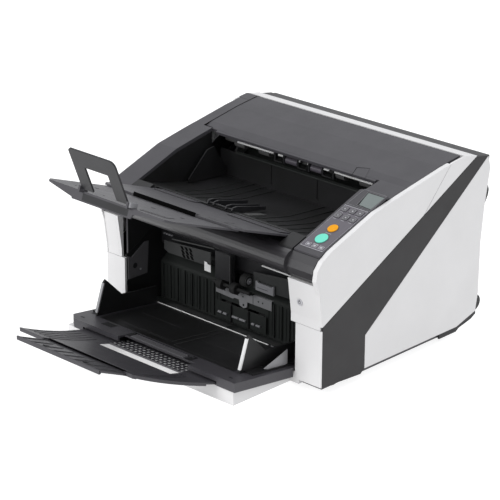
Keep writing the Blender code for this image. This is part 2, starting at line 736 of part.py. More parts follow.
def stacker_guides():
    outline = [(0.1270, 0.2046), (0.1255, 0.2110), (0.1680, 0.2505), (0.1830, 0.2530), (0.2118, 0.2085),
               (0.2118, 0.1975)]
    for side, sx in (("left", -1), ("right", 1)):
        inner = PAPER_X + sx * 0.165
        guide = along_x("stacker_guide_" + side, outline, inner, inner + sx * 0.0025, charcoal_plastic())
        set_origin(guide, (inner, 0.170, 0.205))
        to_upper(guide)


def stacker_extensions():
    x0 = PAPER_X - 0.146
    x1 = PAPER_X + 0.146
    first = on_tray("stacker_ext_1", [(x0, -0.030), (x1, -0.030), (x1, 0.100), (x1 - 0.010, 0.112),
                                      (0.066, 0.121), (-0.074, 0.121), (x0 + 0.010, 0.112), (x0, 0.100)],
                    -SHEET, 0.0, charcoal_plastic())
    cut(first, on_tray("a", rect(-0.066, 0.058, 0.106, 0.115), -0.006, 0.004))
    set_origin(first, tray_point(PAPER_X, 0.0, 0.0))
    x0 = PAPER_X - 0.131
    x1 = PAPER_X + 0.131
    top = -SHEET - GAP
    second = on_tray("stacker_ext_2", [(x0, 0.095), (x1, 0.095), (x1, 0.232), (x1 - 0.010, 0.2435),
                                       (x0 + 0.010, 0.2435), (x0, 0.232)], top - SHEET, top,
                     charcoal_plastic())
    for x in (-0.0950, -0.0350, 0.0250, 0.0850):
        cut(second, on_tray("h", circle(x, 0.174, 0.0040, 12), -0.010, 0.0))
    lip = [(x0 + 0.011, top - 0.0005), (x0 + 0.011, top - 0.0035), (-0.0740, -0.0165), (-0.0720, -0.0190),
           (0.0500, -0.0190), (0.0540, -0.0120), (0.0750, -0.0090), (x1 - 0.012, top - 0.0035),
           (x1 - 0.012, top - 0.0005)]
    add(second, body("l", [[tray_point(x, s, t) for x, t in lip] for s in (0.2405, 0.2433)], None))
    for x in (-0.0556, 0.0443):
        add(second, on_tray("k", rect(x, x + 0.0038, 0.2350, 0.2520), top - 0.002, 0.0045))
    set_origin(second, tray_point(PAPER_X, 0.0, 0.0))
    to_upper(first, second)


def stacker_stopper():
    left = -0.0515
    right = 0.0440
    outer = []
    for cx, start, corner in ((right - 0.010, 0.0, 0.010), (left + 0.005, 90.0, 0.005)):
        for i in range(6):
            angle = math.radians(start + 18 * i)
            outer.append((cx + corner * math.cos(angle), STOPPER_LEN - corner + corner * math.sin(angle)))
    window = [(-0.0280, -0.0020), (-0.0280, 0.0430), (0.0207, 0.0430), (0.0207, -0.0020)]
    outline = [(right, -0.0020)] + outer + [(left, -0.0020)] + window
    pivot = Vector(tray_point(0.0, STOPPER_S, STOPPER_T))
    along = Vector((0, math.cos(STOPPER_LEAN), math.sin(STOPPER_LEAN)))
    across = Vector((0, -math.sin(STOPPER_LEAN), math.cos(STOPPER_LEAN)))
    rings = []
    for w in (-0.0015, 0.0015):
        rings.append([pivot + Vector((x, 0, 0)) + along * u + across * w for x, u in outline])
    stopper = body("stacker_stopper", rings, black_plastic())
    set_origin(stopper, pivot)
    to_upper(stopper)


def build():
    clear_scene()
    make_roots()
    for make in (base_pan, feet, front_frame, base_skins, rear_shell, rear_band, rear_cover, mains_inlet,
                 rear_grip, inner_walls, feed_guide, scan_units, hinge_arms, hinge_rod, drive, brake_roller,
                 hopper_plate, hopper_guides, hopper_extensions, top_cover, open_lever, left_frame,
                 upper_covers, power_button, operator_panel, lcd, keys, stacker_tray, front_roll,
                 pick_parts, exit_roller, stacker_guides, stacker_extensions, stacker_stopper):
        make()
    ROOTS["scanner"].location.y = DEPTH_SHIFT
    bpy.context.view_layer.update()


build()
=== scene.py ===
"""Looks of a sheet fed document scanner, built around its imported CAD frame."""
import json
import math

import bmesh
import bpy
from mathutils import Matrix, Vector


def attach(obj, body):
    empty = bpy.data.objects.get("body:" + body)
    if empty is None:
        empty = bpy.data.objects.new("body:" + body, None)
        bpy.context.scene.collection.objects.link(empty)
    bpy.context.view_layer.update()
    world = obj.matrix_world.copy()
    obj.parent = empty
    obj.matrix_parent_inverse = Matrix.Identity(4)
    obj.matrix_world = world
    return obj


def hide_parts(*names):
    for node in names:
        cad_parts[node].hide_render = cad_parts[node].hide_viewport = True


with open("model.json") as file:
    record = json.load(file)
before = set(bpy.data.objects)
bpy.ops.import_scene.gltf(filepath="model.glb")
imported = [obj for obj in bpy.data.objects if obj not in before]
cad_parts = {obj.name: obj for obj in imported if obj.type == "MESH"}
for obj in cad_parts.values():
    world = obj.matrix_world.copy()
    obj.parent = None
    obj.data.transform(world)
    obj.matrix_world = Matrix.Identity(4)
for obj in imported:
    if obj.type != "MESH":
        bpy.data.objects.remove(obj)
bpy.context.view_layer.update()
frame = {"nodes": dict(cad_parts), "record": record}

# ---- shared dimensions, metres --------------------------------------------
SHIFT_Y = -0.0450
PAPER_X = -0.005
TRAY_Y, TRAY_Z = 0.0240, 0.2285
TRAY_TILT = math.radians(19.8)
PANEL_Y, PANEL_Z = 0.0020, 0.2225
PANEL_TILT = math.atan(0.3594)
ARC_R, ARC_Z = 0.6060, 0.6304
TOP_PROFILE = (
    (0.0000, 0.2225), (0.0236, 0.2301), (0.1132, 0.2623),
    (0.1692, 0.2737), (0.2711, 0.2926), (0.3200, 0.2990),
)


def z_top(y):
    """Height of the body top profile."""
    for (y0, z0), (y1, z1) in zip(TOP_PROFILE, TOP_PROFILE[1:]):
        if y <= y1:
            return z0 + (z1 - z0) * (y - y0) / (y1 - y0)
    return TOP_PROFILE[-1][1]


def z_plate(y):
    """Height of the hopper plate top."""
    return 0.049 - 0.1228 * (y + 0.127)


def z_arc(y):
    """Height of the curved hopper extension top."""
    return ARC_Z - math.sqrt(ARC_R ** 2 - y ** 2)


# ---- node materials -------------------------------------------------------
class Nodes:
    """Small helper around one material's node tree."""

    def __init__(self, name):
        self.mat = bpy.data.materials.new(name)
        self.mat.use_nodes = True
        self.tree = self.mat.node_tree
        self.shader = self.tree.nodes["Principled BSDF"]

    def add(self, kind, **inputs):
        node = self.tree.nodes.new(kind)
        for key, value in inputs.items():
            node.inputs[key.replace("_", " ")].default_value = value
        return node

    def link(self, a, b):
        self.tree.links.new(a, b)

    def coords(self):
        return self.add("ShaderNodeTexCoord").outputs["Object"]

    def noise(self, scale, detail=2.0, vector=None):
        node = self.add("ShaderNodeTexNoise", Scale=scale, Detail=detail)
        self.link(vector or self.coords(), node.inputs["Vector"])
        return node.outputs["Fac"]

    def ramp(self, value, stops):
        node = self.add("ShaderNodeValToRGB")
        self.link(value, node.inputs["Fac"])
        ends = node.color_ramp.elements
        for element, (pos, colour) in zip(ends, stops):
            element.position = pos
            element.color = tuple(colour) + (1.0,)
        return node.outputs["Color"]

    def scaled(self, value, low, high):
        node = self.add("ShaderNodeMapRange", To_Min=low, To_Max=high)
        self.link(value, node.inputs["Value"])
        return node.outputs["Result"]

    def bump(self, height, strength, distance):
        node = self.add("ShaderNodeBump", Strength=strength, Distance=distance)
        self.link(height, node.inputs["Height"])
        self.link(node.outputs["Normal"], self.shader.inputs["Normal"])

    def set(self, **inputs):
        for key, value in inputs.items():
            self.shader.inputs[key.replace("_", " ")].default_value = value


def moulded(name, low, high, rough, grain=900.0, strength=0.25, metallic=0.0, coat=0.0, shine=0.3):
    """Moulded plastic: spark-eroded grain, faint flow marks and handling sheen."""
    n = Nodes(name)
    base = n.ramp(n.noise(14.0, 4.0), ((0.30, low), (0.70, high)))
    n.link(base, n.shader.inputs["Base Color"])
    sheen = n.scaled(n.noise(45.0, 3.0), rough - 0.05, rough + 0.07)
    n.link(sheen, n.shader.inputs["Roughness"])
    n.bump(n.noise(grain, 3.0), strength, 0.0004)
    n.set(Metallic=metallic, Coat_Weight=coat, Coat_Roughness=0.15, Specular_IOR_Level=shine)
    return n.mat


def brushed(name, tone, rough):
    """Rolled sheet steel with fine lengthwise brushing."""
    n = Nodes(name)
    stretch = n.add("ShaderNodeMapping")
    stretch.inputs["Scale"].default_value = (6.0, 400.0, 400.0)
    n.link(n.coords(), stretch.inputs["Vector"])
    lines = n.noise(3.0, 4.0, stretch.outputs["Vector"])
    n.link(n.ramp(lines, ((0.2, [tone * 0.8] * 3), (0.8, [tone] * 3))), n.shader.inputs["Base Color"])
    n.link(n.scaled(lines, rough - 0.06, rough + 0.1), n.shader.inputs["Roughness"])
    n.bump(lines, 0.15, 0.0003)
    n.set(Metallic=1.0)
    return n.mat


def rubbery(name, tone):
    """Ground rubber with a fine ribbed bump."""
    n = Nodes(name)
    ribs = n.add("ShaderNodeTexWave", Scale=420.0, Distortion=0.4)
    ribs.bands_direction = "X"
    n.link(n.coords(), ribs.inputs["Vector"])
    dust = n.noise(60.0, 4.0)
    n.link(n.ramp(dust, ((0.3, [tone] * 3), (0.8, [tone * 1.7] * 3))), n.shader.inputs["Base Color"])
    n.bump(ribs.outputs["Fac"], 0.3, 0.0003)
    n.set(Roughness=0.85)
    return n.mat


def pane(name, tint, rough, transmission):
    """Clear glass with a few faint smears."""
    n = Nodes(name)
    n.link(n.scaled(n.noise(25.0, 5.0), rough, rough + 0.08), n.shader.inputs["Roughness"])
    n.set(Base_Color=tuple(tint) + (1.0,), Transmission_Weight=transmission, IOR=1.5)
    return n.mat


def display(name):
    """Reflective display glass with a faint cell grid below it."""
    n = Nodes(name)
    cells = n.add("ShaderNodeTexChecker", Scale=1800.0, Color1=(0.090, 0.112, 0.108, 1),
                  Color2=(0.112, 0.140, 0.134, 1))
    n.link(n.coords(), cells.inputs["Vector"])
    n.link(cells.outputs["Color"], n.shader.inputs["Base Color"])
    n.link(n.scaled(n.noise(40.0, 3.0), 0.10, 0.2), n.shader.inputs["Roughness"])
    n.set(Coat_Weight=0.6, Coat_Roughness=0.05)
    return n.mat


LOOKS = {
    "white_plastic": moulded("white_plastic_look", (0.595, 0.590, 0.592), (0.625, 0.620, 0.622), 0.42,
                             1100.0, 0.12),
    "charcoal_plastic": moulded("charcoal_look", (0.036, 0.0345, 0.0395), (0.046, 0.044, 0.050), 0.46,
                                1000.0, 0.30, shine=0.4),
    "black_plastic": moulded("black_look", (0.011, 0.011, 0.012), (0.018, 0.018, 0.020), 0.40, 900.0, 0.25),
    "stripe_plastic": moulded("stripe_look", (0.017, 0.016, 0.017), (0.023, 0.022, 0.023), 0.50, 1000.0,
                              0.25),
    "roller_rubber": rubbery("roller_look", 0.050),
    "foot_rubber": rubbery("foot_look", 0.018),
    "sheet_steel": brushed("steel_look", 0.62, 0.34),
    "scan_glass": pane("scan_glass_look", (0.82, 0.90, 0.88), 0.02, 0.9),
    "display_glass": display("display_look"),
    "gear_plastic": moulded("gear_look", (0.50, 0.50, 0.46), (0.60, 0.60, 0.56), 0.45),
    "key_plastic": moulded("key_look", (0.080, 0.078, 0.085), (0.100, 0.098, 0.105), 0.42, 1200.0, 0.2),
    "orange_plastic": moulded("orange_look", (0.64, 0.26, 0.001), (0.70, 0.30, 0.002), 0.45, 700.0, 0.05,
                              shine=0.15),
    "mint_plastic": moulded("mint_look", (0.11, 0.56, 0.43), (0.14, 0.61, 0.47), 0.35, 700.0, 0.05,
                            coat=0.05),
    "grey_plastic": moulded("grey_look", (0.42, 0.42, 0.44), (0.48, 0.48, 0.50), 0.35),
}
EXTRA = {
    "print": moulded("print_look", (0.33, 0.33, 0.35), (0.40, 0.40, 0.42), 0.5),
    "pale": moulded("pale_look", (0.62, 0.62, 0.62), (0.70, 0.70, 0.70), 0.45),
    "film": moulded("film_look", (0.075, 0.068, 0.082), (0.090, 0.082, 0.098), 0.36, 700.0, 0.08, coat=0.25),
    "line": moulded("line_look", (0.006, 0.006, 0.007), (0.010, 0.010, 0.011), 0.6),
    "ash": moulded("ash_look", (0.16, 0.16, 0.17), (0.20, 0.20, 0.21), 0.45),
    "gloom": moulded("gloom_look", (0.014, 0.016, 0.015), (0.020, 0.022, 0.021), 0.42, 700.0, 0.2),
    "tyre": rubbery("tyre_look", 0.005),
    "void": moulded("void_look", (0.001, 0.001, 0.001), (0.002, 0.002, 0.002), 0.8, shine=0.05),
    "vent": moulded("vent_look", (0.022, 0.023, 0.023), (0.034, 0.035, 0.035), 0.5, 500.0, 0.4),
    "dusk": moulded("dusk_look", (0.040, 0.041, 0.041), (0.052, 0.053, 0.052), 0.5),
    "wall": moulded("wall_look", (0.008, 0.008, 0.008), (0.013, 0.013, 0.014), 0.38, 700.0, 0.2),
    "satin": moulded("satin_look", (0.020, 0.019, 0.021), (0.028, 0.027, 0.030), 0.30, 1200.0, 0.12,
                     shine=0.7),
    "zinc": moulded("zinc_look", (0.26, 0.26, 0.27), (0.34, 0.34, 0.35), 0.38, 500.0, 0.1, metallic=0.5),
    "print_dark": moulded("print_dark_look", (0.075, 0.073, 0.078), (0.088, 0.086, 0.092), 0.5),
    # bright is used only as painted light: highlights on the hopper plate's rear edge, the exit shaft and a
    # screw, and a fill for the lit floor seen through the lattice.
    "bright": moulded("bright_look", (0.80, 0.80, 0.80), (0.86, 0.86, 0.86), 0.3),
}


# ---- mesh helpers ---------------------------------------------------------
def mesh_piece(name, points, faces, look, rides, bevel=0.0, segments=2, smooth=False):
    mesh = bpy.data.meshes.new(name)
    mesh.from_pydata([(x, y + SHIFT_Y, z) for x, y, z in points], [], faces)
    bm = bmesh.new()
    bm.from_mesh(mesh)
    bmesh.ops.recalc_face_normals(bm, faces=bm.faces)
    bm.to_mesh(mesh)
    bm.free()
    obj = bpy.data.objects.new(name, mesh)
    bpy.context.collection.objects.link(obj)
    mesh.materials.append(LOOKS.get(look) or EXTRA[look])
    if bevel:
        round_edges(obj, bevel, segments)
    if smooth:
        shade_round(obj)
    if rides:
        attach(obj, rides)
    return obj


def round_edges(obj, width, segments=2, angle=35):
    mod = obj.modifiers.new("edge", "BEVEL")
    mod.width = width
    mod.segments = segments
    mod.limit_method = "ANGLE"
    mod.angle_limit = math.radians(angle)
    mod.harden_normals = False


def shade_round(obj, angle=35):
    for face in obj.data.polygons:
        face.use_smooth = True
    obj.data.set_sharp_from_angle(angle=math.radians(angle))


def loft(name, rings, look, rides, **kw):
    """Closed body through equal-length rings of points."""
    count = len(rings[0])
    points = [p for ring in rings for p in ring]
    faces = [list(reversed(range(count)))]
    for level in range(len(rings) - 1):
        for i in range(count):
            j = (i + 1) % count
            a, b = level * count, (level + 1) * count
            faces.append([a + i, a + j, b + j, b + i])
    faces.append([(len(rings) - 1) * count + i for i in range(count)])
    return mesh_piece(name, points, faces, look, rides, **kw)


def along_x(name, outline, x0, x1, look, rides, **kw):
    return loft(name, [[(x, y, z) for y, z in outline] for x in (x0, x1)], look, rides, **kw)


def along_y(name, outline, y0, y1, look, rides, **kw):
    return loft(name, [[(x, y, z) for x, z in outline] for y in (y0, y1)], look, rides, **kw)


def along_z(name, outline, z0, z1, look, rides, **kw):
    return loft(name, [[(x, y, z) for x, y in outline] for z in (z0, z1)], look, rides, **kw)


def block(name, low, high, look, rides, **kw):
    return along_z(name, rect(low[0], high[0], low[1], high[1]), low[2], high[2], look, rides, **kw)


def rect(x0, x1, y0, y1):
    return [(x0, y0), (x1, y0), (x1, y1), (x0, y1)]


def circle(cx, cy, radius, count=32):
    step = 2 * math.pi / count
    return [(cx + radius * math.cos(i * step), cy + radius * math.sin(i * step)) for i in range(count)]


def panel_point(x, y, w):
    z = PANEL_Z + math.tan(PANEL_TILT) * (y - PANEL_Y)
    return (x, y - w * math.sin(PANEL_TILT), z + w * math.cos(PANEL_TILT))


def on_panel(name, outline, w0, w1, look, rides, **kw):
    return loft(name, [[panel_point(x, y, w) for x, y in outline] for w in (w0, w1)], look, rides, **kw)


def tray_point(x, s, t):
    y = TRAY_Y - s * math.cos(TRAY_TILT) + t * math.sin(TRAY_TILT)
    z = TRAY_Z + s * math.sin(TRAY_TILT) + t * math.cos(TRAY_TILT)
    return (x, y, z)


def on_tray(name, outline, t0, t1, look, rides, **kw):
    return loft(name, [[tray_point(x, s, t) for x, s in outline] for t in (t0, t1)], look, rides, **kw)


def spindle(name, y, z, profile, look, rides, count=40, **kw):
    rings = [[(x, a, b) for a, b in circle(y, z, radius, count)] for x, radius in profile]
    return loft(name, rings, look, rides, smooth=True, **kw)


# ---- CAD nodes that stay --------------------------------------------------
EDGES = {
    "upper_cover_right": 0.0035, "top_cover": 0.0012, "left_frame": 0.0012, "front_frame": 0.0012,
    "hopper_plate": 0.0010, "stripe_right": 0.0008, "stripe_left": 0.0008, "lower_cover_right": 0.0010,
    "rear_grip": 0.0,
}
# The near-black looks for feed_guide and the two inner walls are painted shade for the dim inside of the
# scanner.
NODE_LOOKS = {
    "feed_guide": "gloom", "pick_roller": "tyre", "brake_roller": "tyre", "front_roll": "satin",
    "inner_wall_left": "wall", "inner_wall_right": "wall", "stacker_tray": "wall",
    "hopper_guide_left": "wall", "hopper_guide_right": "wall",
    "stacker_guide_left": "wall", "stacker_guide_right": "wall",
}


def dress_nodes():
    slot_of = {s["node"]: s["material_slot"] for s in frame["record"]["subparts"]}
    for name, obj in frame["nodes"].items():
        special = NODE_LOOKS.get(name)
        look = EXTRA[special] if special else LOOKS[slot_of[name]]
        obj.data.materials.clear()
        obj.data.materials.append(look)
        width = EDGES.get(name, 0.0005)
        if width:
            round_edges(obj, width)


# ---- scanning bay ---------------------------------------------------------
def ring(name, outer, inner, place, w0, w1, look, rides):
    """Flat closed frame between two equal-length outlines, set in space by place."""
    count = len(outer)
    loops = [(outer, w0), (outer, w1), (inner, w1), (inner, w0)]
    points = [place(a, b, w) for outline, w in loops for a, b in outline]
    faces = []
    for level in range(4):
        nxt = (level + 1) % 4
        for i in range(count):
            j = (i + 1) % count
            faces.append([level * count + i, level * count + j, nxt * count + j, nxt * count + i])
    return mesh_piece(name, points, faces, look, rides)


CORNER_REACH = 1.3


def shrunk(outline, amount):
    """Outline with its corners drawn in towards its middle, a little more than the amount."""
    cx = sum(a for a, _ in outline) / len(outline)
    cy = sum(b for _, b in outline) / len(outline)
    inner = []
    for a, b in outline:
        reach = math.hypot(a - cx, b - cy)
        keep = (reach - amount * CORNER_REACH) / reach
        inner.append((cx + (a - cx) * keep, cy + (b - cy) * keep))
    return inner


BAY_Y = 0.0600
WHEEL_Z = 0.1113


def vent_panel():
    outline = [(-0.1610, 0.1286), (-0.0570, 0.1360), (-0.0570, 0.1110), (-0.1504, 0.1095), (-0.1610, 0.1138)]
    along_y("vent_panel", outline, BAY_Y, BAY_Y + 0.0015, "vent", "upper_unit", bevel=0.0006)
    along_y("vent_hem", [(-0.1420, 0.1365), (-0.0480, 0.1455), (-0.0480, 0.1435), (-0.1420, 0.1345)],
            BAY_Y - 0.0010, BAY_Y, "dusk", "upper_unit", bevel=0.0003)
    # Black slots in the vent panel: painted shade inside the openings.
    for row in range(3):
        for col in range(3):
            x = -0.1240 + 0.0092 * col + 0.0016 * row
            z = 0.1290 + 0.0006 * col - 0.0062 * row
            slot = [(x, z), (x + 0.0050, z), (x + 0.0088, z - 0.0054), (x + 0.0038, z - 0.0054)]
            along_y("vent_slot_%d_%d" % (row, col), slot, BAY_Y - 0.0004, BAY_Y + 0.0002, "void",
                    "upper_unit")
    tag = [(-0.0695, 0.1030), (-0.0560, 0.1030), (-0.0560, 0.1150), (-0.0625, 0.1150), (-0.0640, 0.1180),
           (-0.0695, 0.1180)]
    along_y("paper_tag", tag, BAY_Y - 0.0014, BAY_Y - 0.0008, "pale", "upper_unit")


def bay_fittings():
    along_y("centre_plate", rect(-0.0453, -0.0123, 0.0990, 0.1434), 0.0580, 0.0590, "black_plastic",
            "upper_unit", bevel=0.0004)
    along_y("centre_hem", rect(-0.0127, -0.0115, 0.0960, 0.1440), 0.0560, 0.0592, "dusk", "upper_unit",
            bevel=0.0003)
    wheel = [(0.0140, 0.0080), (0.0146, 0.0100), (0.0252, 0.0100), (0.0258, 0.0080), (0.0262, 0.0076)]
    spindle("drive_wheel", BAY_Y, WHEEL_Z, wheel, "tyre", "upper_unit")
    rim = [(0.0258, 0.0096), (0.0264, 0.0094), (0.0264, 0.0084), (0.0258, 0.0082)]
    spindle("wheel_rim", BAY_Y, WHEEL_Z, rim, "dusk", "upper_unit")
    hub = [(0.0262, 0.0052), (0.0268, 0.0048), (0.0270, 0.0016), (0.0292, 0.0014)]
    spindle("wheel_hub", BAY_Y, WHEEL_Z, hub, "ash", "upper_unit")
    along_y("bay_back_plate", [(0.0300, 0.1270), (0.1140, 0.1360), (0.1640, 0.1390), (0.1640, 0.1060),
                               (0.0300, 0.1000)], 0.0650, 0.0665, "vent", "upper_unit", bevel=0.0005)
    along_y("sensor_case", [(0.0389, 0.1010), (0.0767, 0.1007), (0.0767, 0.1160), (0.0740, 0.1160),
                            (0.0735, 0.1140), (0.0440, 0.1140), (0.0430, 0.1165), (0.0389, 0.1165)],
            BAY_Y, BAY_Y + 0.0040, "ash", "upper_unit", bevel=0.0006)
    # Black groove on the sensor case: painted shade in the groove.
    along_y("sensor_groove", rect(0.0430, 0.0650, 0.1060, 0.1066), BAY_Y - 0.0003, BAY_Y + 0.0003, "line",
            "upper_unit")
    along_y("lit_bar", rect(0.0513, 0.1121, 0.1428, 0.1452), BAY_Y, BAY_Y + 0.0030, "pale", "upper_unit",
            bevel=0.0010)
    for i in range(4):
        x = -0.1621 + 0.0055 * i
        block("cable_clip_%d" % i, (x, BAY_Y, 0.1392), (x + 0.0032, BAY_Y + 0.003, 0.1412), "ash",
              "upper_unit", bevel=0.0005)


def pick_plate():
    """Pick bracket with its tab, bent top flange, hanger and holes."""
    face = [(-0.0590, 0.0660), (-0.0225, 0.0645), (-0.0180, 0.0668), (-0.0090, 0.0668), (-0.0075, 0.0575),
            (0.0015, 0.0550), (0.0085, 0.0585), (0.0090, 0.0672), (0.0605, 0.0672), (0.0605, 0.0825),
            (0.0220, 0.0832), (0.0200, 0.0812), (-0.0100, 0.0812), (-0.0590, 0.0812)]
    plate = along_y("bracket_plate", face, 0.0735, 0.0748, "zinc", "upper_unit", bevel=0.0003)
    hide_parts("pick_bracket")
    block("bracket_flange", (0.0220, 0.0750, 0.0825), (0.0605, 0.0880, 0.0834), "zinc", "upper_unit",
          bevel=0.0003)
    along_y("bracket_hanger", rect(-0.0580, -0.0180, 0.0812, 0.1400), 0.0737, 0.0748, "black_plastic",
            "upper_unit", bevel=0.0003)
    # Black discs for the holes and the black line at the bend: painted shade in the holes and the crease.
    holes = ((-0.0395, 0.0742, 0.0016), (-0.0110, 0.0742, 0.0014), (0.0000, 0.0742, 0.0014),
             (0.0330, 0.0752, 0.0014), (0.0420, 0.0752, 0.0014), (0.0010, 0.0605, 0.0018))
    for i, (x, z, radius) in enumerate(holes):
        along_y("bracket_hole_%d" % i, circle(x, z, radius, 16), 0.0732, 0.0738, "line", "upper_unit")
    along_y("bracket_bend", rect(0.0212, 0.0218, 0.0678, 0.0820), 0.0732, 0.0738, "line", "upper_unit")


def bay_floor():
    """Shelf strips, idler rollers and wall trim at the foot of the feed wall."""
    for i, (x0, x1) in enumerate(((-0.1470, -0.0133), (0.0010, 0.1300))):
        strip = [(0.0500, 0.0266), (0.0655, 0.0232), (0.0655, 0.0236), (0.0500, 0.0271)]
        along_x("shelf_strip_%d" % i, strip, x0, x1, "dusk", "base")
    # The idler rollers' light grey is a painted highlight for small shiny rollers.
    spans = ((-0.0519, -0.0440), (-0.0410, -0.0329), (-0.0213, -0.0080), (-0.0060, 0.0076),
             (0.0205, 0.0270), (0.0300, 0.0390))
    for i, (x0, x1) in enumerate(spans):
        ends = [(x0, 0.0014), (x0 + 0.0004, 0.0020), (x1 - 0.0004, 0.0020), (x1, 0.0014)]
        spindle("idler_roller_%d" % i, 0.0716, 0.0352, ends, "ash", "base", count=20)
    for i in range(44):
        x = -0.1780 + 0.0074 * i
        if -0.0520 < x < 0.0450:
            continue
        block("wall_rib_%d" % i, (x, 0.0757, 0.0255), (x + 0.0009, 0.0761, 0.0790), "gloom", "base")
    block("wall_insert", (-0.0560, 0.0728, 0.0250), (0.0500, 0.0735, 0.0540), "gloom", "base", bevel=0.0003)
    for i, x in enumerate((-0.0250, 0.0125)):
        block("wall_post_%d" % i, (x, 0.0700, 0.0240), (x + 0.0026, 0.0727, 0.0540), "wall", "base",
              bevel=0.0005)


def side_bracket():
    """Formed guide plate on the inner left wall."""
    outline = [(0.0060, 0.1085), (0.0140, 0.1050), (0.0430, 0.1235), (0.0520, 0.1230), (0.0480, 0.0690),
               (0.0070, 0.0690)]
    along_x("wall_bracket", outline, -0.1887, -0.1868, "print_dark", "base", bevel=0.0006)
    # Black disc for the hole: painted shade inside it.
    along_x("wall_bracket_hole", circle(0.0210, 0.0890, 0.0046, 20), -0.1870, -0.1866, "line", "base")
    along_x("wall_bracket_screw", circle(0.0330, 0.0800, 0.0020, 16), -0.1872, -0.1860, "ash", "base",
            bevel=0.0004)


# ---- hopper ---------------------------------------------------------------
def on_plate(name, outline, h0, h1, look, **kw):
    """Piece lying on the hopper plate between two heights above it."""
    rings = [[(x, y, z_plate(y) + h) for x, y in outline] for h in (h0, h1)]
    return loft(name, rings, look, "hopper_plate", **kw)


def hopper_bed():
    # Near-black sheet over the back of the hopper plate: painted shade for the shadow the upper unit casts on
    # the plate.
    on_plate("bed_painted_shade", rect(-0.1500, 0.1380, -0.0900, 0.0405), 0.0, 0.0003, "wall")
    # Bright strip, then a grey one, along the plate's rear edge: a painted highlight on that edge.
    on_plate("bed_rear_edge", rect(-0.1750, 0.0840, 0.0412, 0.0420), 0.0, 0.0012, "bright")
    on_plate("bed_rear_edge_end", rect(0.0900, 0.1600, 0.0412, 0.0420), 0.0, 0.0012, "ash")
    # Thin lines lighter than the bed along its ridges and middle strip: painted highlights on their edges.
    lines = ((-0.1300, -0.0100, -0.0720), (-0.1310, -0.0440, -0.0170), (0.0060, 0.1300, -0.0820),
             (0.0100, 0.1320, -0.0300), (-0.1250, -0.0150, -0.0760))
    for i, (x0, x1, y) in enumerate(lines):
        on_plate("bed_ridge_%d" % i, rect(x0, x1, y, y + 0.0007), 0.0003, 0.00037, "dusk")
    on_plate("bed_spine_left", rect(-0.0070, -0.0062, -0.0740, 0.0250), 0.0003, 0.0009, "dusk")
    on_plate("bed_spine_right", rect(0.0052, 0.0060, -0.0820, 0.0250), 0.0003, 0.0009, "dusk")
    # Black marks for the holes and the square recess: painted shade inside them.
    for i, (x, y) in enumerate(((-0.1660, -0.1115), (0.1550, -0.1130), (-0.1700, -0.0850))):
        hole = rect(x - 0.0035, x + 0.0035, y - 0.0016, y + 0.0016)
        on_plate("plate_hole_%d" % i, hole, 0.0, 0.0003, "line")
    on_plate("plate_recess", rect(-0.1270, -0.1050, -0.1090, -0.0950), 0.0, 0.0004, "line")
    # Lighter lip at the recess: painted highlight on its edge.
    on_plate("plate_recess_lip", rect(-0.1270, -0.1050, -0.0950, -0.0935), 0.0, 0.0008, "dusk")
    on_plate("finger_pad", rect(-0.0570, 0.0560, -0.1130, -0.1020), 0.0, 0.0016, "print_dark", bevel=0.0005)
    on_plate("finger_pad_step", rect(-0.0560, 0.0550, -0.1020, -0.0990), 0.0, 0.0024, "charcoal_plastic",
             bevel=0.0006)
    for i, x in enumerate((-0.0690, 0.0590)):
        # Black slots at the ends of the pad: painted shade inside them.
        on_plate("pad_slot_%d" % i, rect(x, x + 0.0100, -0.1128, -0.0940), 0.0, 0.0004, "line")
        on_plate("pad_hinge_%d" % i, rect(x + 0.0020, x + 0.0080, -0.1000, -0.0950), 0.0, 0.0022,
                 "black_plastic", bevel=0.0005)
    for side, x in (("left", -0.1800), ("right", 0.1500)):
        on_plate("plate_track_" + side, rect(x, x + 0.0200, -0.0760, -0.0748), 0.0, 0.0005, "dusk")


def hopper_cheek():
    """Bright bracket showing between the right guide and the pillar."""
    outline = [(-0.0545, 0.0457), (-0.0030, 0.0610), (-0.0030, 0.0380), (-0.0285, 0.0350)]
    along_x("hopper_cheek", outline, 0.1645, 0.1652, "zinc", "hopper_plate")


def guide_strips():
    """Front strips on the two hopper side guides: zinc on the left, pale on the right."""
    outline = [(-0.0900, 0.0500), (-0.0746, 0.0952), (-0.0720, 0.0952), (-0.0872, 0.0500)]
    for side, sx, look in (("left", -1, "zinc"), ("right", 1, "pale")):
        x = PAPER_X + sx * 0.1538
        along_x("guide_strip_" + side, outline, x - 0.0024, x + 0.0024, look, "hopper_guide_" + side)


SHEET_X = (-0.1450, 0.1350)
LIP_LEFT, LIP_RIGHT = -0.0945, 0.0855
STEP_X, STEP_Y = (-0.0900, 0.0815), -0.2460
WINDOW_X, WINDOW_Y = (-0.0780, 0.0815), (-0.1650, -0.1390)
THIN_X, THIN_Y = (-0.0760, 0.0800), (-0.1380, -0.1000)
THIN_SHEET, THICK_SHEET = 0.0007, 0.0030
CELL = 0.0090


def within(value, span):
    return span[0] < value < span[1]


def chamfer_x(y):
    """Right edge of the first hopper extension, drawn in towards the front."""
    return min(SHEET_X[1], 0.0980 + 0.28516 * (y + 0.2580))


